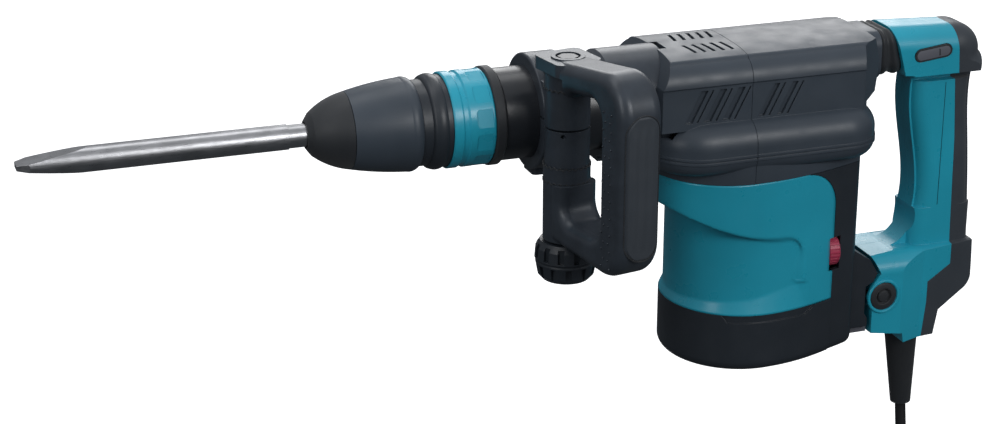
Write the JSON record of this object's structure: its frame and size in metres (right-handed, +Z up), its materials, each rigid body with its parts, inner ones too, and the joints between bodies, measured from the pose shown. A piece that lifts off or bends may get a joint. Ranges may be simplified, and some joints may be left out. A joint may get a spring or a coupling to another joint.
{
  "type": "electric demolition hammer",
  "caption": "Hand-held electric demolition hammer with a bull-point chisel, a quick-release chuck, a swinging D side handle and a sprung rear handle.",
  "frame": {"origin": "centre of the rear hand grip, where the tool is held", "axes": "+X to the rear along the hammer axis, the bit points to -X, +Y to the tool's right, +Z up"},
  "size_m": [0.905, 0.2672, 0.4539],
  "materials": {
    "slate_plastic": "satin",
    "dark_plastic": "satin",
    "teal_plastic": "satin gloss",
    "black_gloss": "gloss",
    "slate_metal": "painted",
    "cast_aluminium": "cast",
    "bit_steel": "ground",
    "machined_steel": "machined",
    "spring_steel": "drawn",
    "black_rubber": "matte",
    "slate_rubber": "matte",
    "lamination": "stacked",
    "copper": "enamelled",
    "brass": "stamped",
    "carbon": "matte",
    "red_plastic": "satin",
    "board": "coated",
    "grey_plastic": "satin",
    "cord_rubber": "matte"
  },
  "bodies": {
    "handle": {"handle_left": "teal_plastic", "handle_right": "teal_plastic", "handle_rubber": "slate_rubber", "pivot_pin": "machined_steel", "pivot_bushes": "black_rubber", "switch_body": "dark_plastic", "cord_guard": "black_rubber", "cord": "cord_rubber", "cord_coil": "cord_rubber", "plug": "black_rubber"},
    "switch_slider": {"switch_slider": "slate_plastic"},
    "machine": {"barrel": "black_gloss", "flange_ring": "black_rubber", "gear_case": "slate_metal", "cylinder": "machined_steel", "cylinder_rings": "black_rubber", "ball_bearings": "machined_steel", "crank_housing": "cast_aluminium", "crank_cover": "cast_aluminium", "housing_screws": "machined_steel", "stator_core": "lamination", "field_coils": "copper", "brush_holders": "brass", "carbon_brushes": "carbon", "front_cover": "slate_plastic", "rear_top_cover": "slate_plastic", "motor_housing": "teal_plastic", "base_cap": "dark_plastic", "rear_cover": "dark_plastic", "control_board": "board", "under_plate": "grey_plastic", "bellows": "black_rubber", "vibration_spring": "spring_steel"},
    "speed_dial": {"speed_dial": "red_plastic"},
    "armature": {"armature_shaft": "machined_steel", "armature_core": "lamination", "armature_windings": "copper", "commutator": "copper", "cooling_fan": "dark_plastic"},
    "crank": {"crankshaft": "machined_steel", "crank_gear": "machined_steel"},
    "piston": {"piston": "machined_steel", "wrist_pin": "machined_steel"},
    "connecting_rod": {"connecting_rod": "cast_aluminium"},
    "striker": {"striker": "machined_steel"},
    "tool_holder": {"tool_holder": "machined_steel", "lock_rollers": "machined_steel", "nose_cap": "black_rubber", "sleeve_collar": "slate_plastic", "sleeve_spring": "spring_steel"},
    "release_sleeve": {"release_sleeve": "slate_plastic"},
    "change_ring": {"change_ring": "teal_plastic"},
    "chisel_bit": {"chisel_bit": "bit_steel"},
    "impact_bolt": {"impact_bolt": "machined_steel"},
    "side_clamp": {"clamp_band": "black_gloss", "column_collars": "slate_plastic"},
    "side_handle": {"side_handle": "slate_plastic", "side_grip_pad": "slate_rubber", "handle_bolt": "machined_steel"},
    "clamp_knob": {"clamp_knob": "slate_plastic"}
  },
  "joints": [
    {"name": "handle_pivot", "type": "hinge", "parent": "handle", "child": "machine", "pos_m": [-0.058, 0, -0.1165], "axis": [0, 1, 0], "range_deg": [0, 1.2], "stiffness_Nm_per_rad": 900, "springref_deg": -0.57, "deforming": ["bellows", "vibration_spring"]},
    {"name": "switch_slide", "type": "slide", "parent": "handle", "child": "switch_slider", "axis": [0, 1, 0], "range_m": [0, 0.005]},
    {"name": "speed_dial_turn", "type": "hinge", "parent": "machine", "child": "speed_dial", "pos_m": [-0.114, -0.037, -0.0655], "axis": [1, 0, 0], "range_deg": [-130, 130]},
    {"name": "motor_spin", "type": "hinge", "parent": "machine", "child": "armature", "pos_m": [-0.187, 0, -0.03], "axis": [0, 0, 1], "continuous": true},
    {"name": "crank_turn", "type": "hinge", "parent": "machine", "child": "crank", "pos_m": [-0.145, 0, 0.03], "axis": [0, 0, 1], "continuous": true},
    {"name": "piston_slide", "type": "slide", "parent": "machine", "child": "piston", "axis": [1, 0, 0], "range_m": [0, 0.032]},
    {"name": "rod_swing", "type": "hinge", "parent": "piston", "child": "connecting_rod", "pos_m": [-0.243, 0, 0.07], "axis": [0, 0, 1], "range_deg": [-11, 11]},
    {"name": "striker_slide", "type": "slide", "parent": "machine", "child": "striker", "axis": [1, 0, 0], "range_m": [0, 0.02]},
    {"name": "tool_turn", "type": "hinge", "parent": "machine", "child": "tool_holder", "pos_m": [-0.425, 0, 0.07], "axis": [1, 0, 0], "continuous": true},
    {"name": "sleeve_slide", "type": "slide", "parent": "tool_holder", "child": "release_sleeve", "axis": [1, 0, 0], "range_m": [0, 0.0073], "stiffness_N_per_m": 1500, "springref_m": -0.008, "deforming": ["sleeve_spring"]},
    {"name": "change_ring_slide", "type": "slide", "parent": "tool_holder", "child": "change_ring", "axis": [-1, 0, 0], "range_m": [0, 0.004]},
    {"name": "bit_slide", "type": "slide", "parent": "tool_holder", "child": "chisel_bit", "axis": [-1, 0, 0], "range_m": [0, 0.02]},
    {"name": "impact_bolt_slide", "type": "slide", "parent": "tool_holder", "child": "impact_bolt", "axis": [-1, 0, 0], "range_m": [0, 0.005]},
    {"name": "clamp_swing", "type": "hinge", "parent": "machine", "child": "side_clamp", "pos_m": [-0.355, 0, 0.07], "axis": [1, 0, 0], "continuous": true},
    {"name": "side_handle_turn", "type": "hinge", "parent": "side_clamp", "child": "side_handle", "pos_m": [-0.356, -0.062, 0.07], "axis": [0, 0, 1], "range_deg": [-85, 30]},
    {"name": "clamp_knob_turn", "type": "hinge", "parent": "side_handle", "child": "clamp_knob", "pos_m": [-0.356, -0.062, -0.03], "axis": [0, 0, 1], "range_deg": [0, 360]}
  ],
  "couplings": [
    {"joint": "motor_spin", "follows": "crank_turn", "ratio": -6},
    {"joint": "impact_bolt_slide", "follows": "bit_slide", "ratio": 0.25}
  ]
}
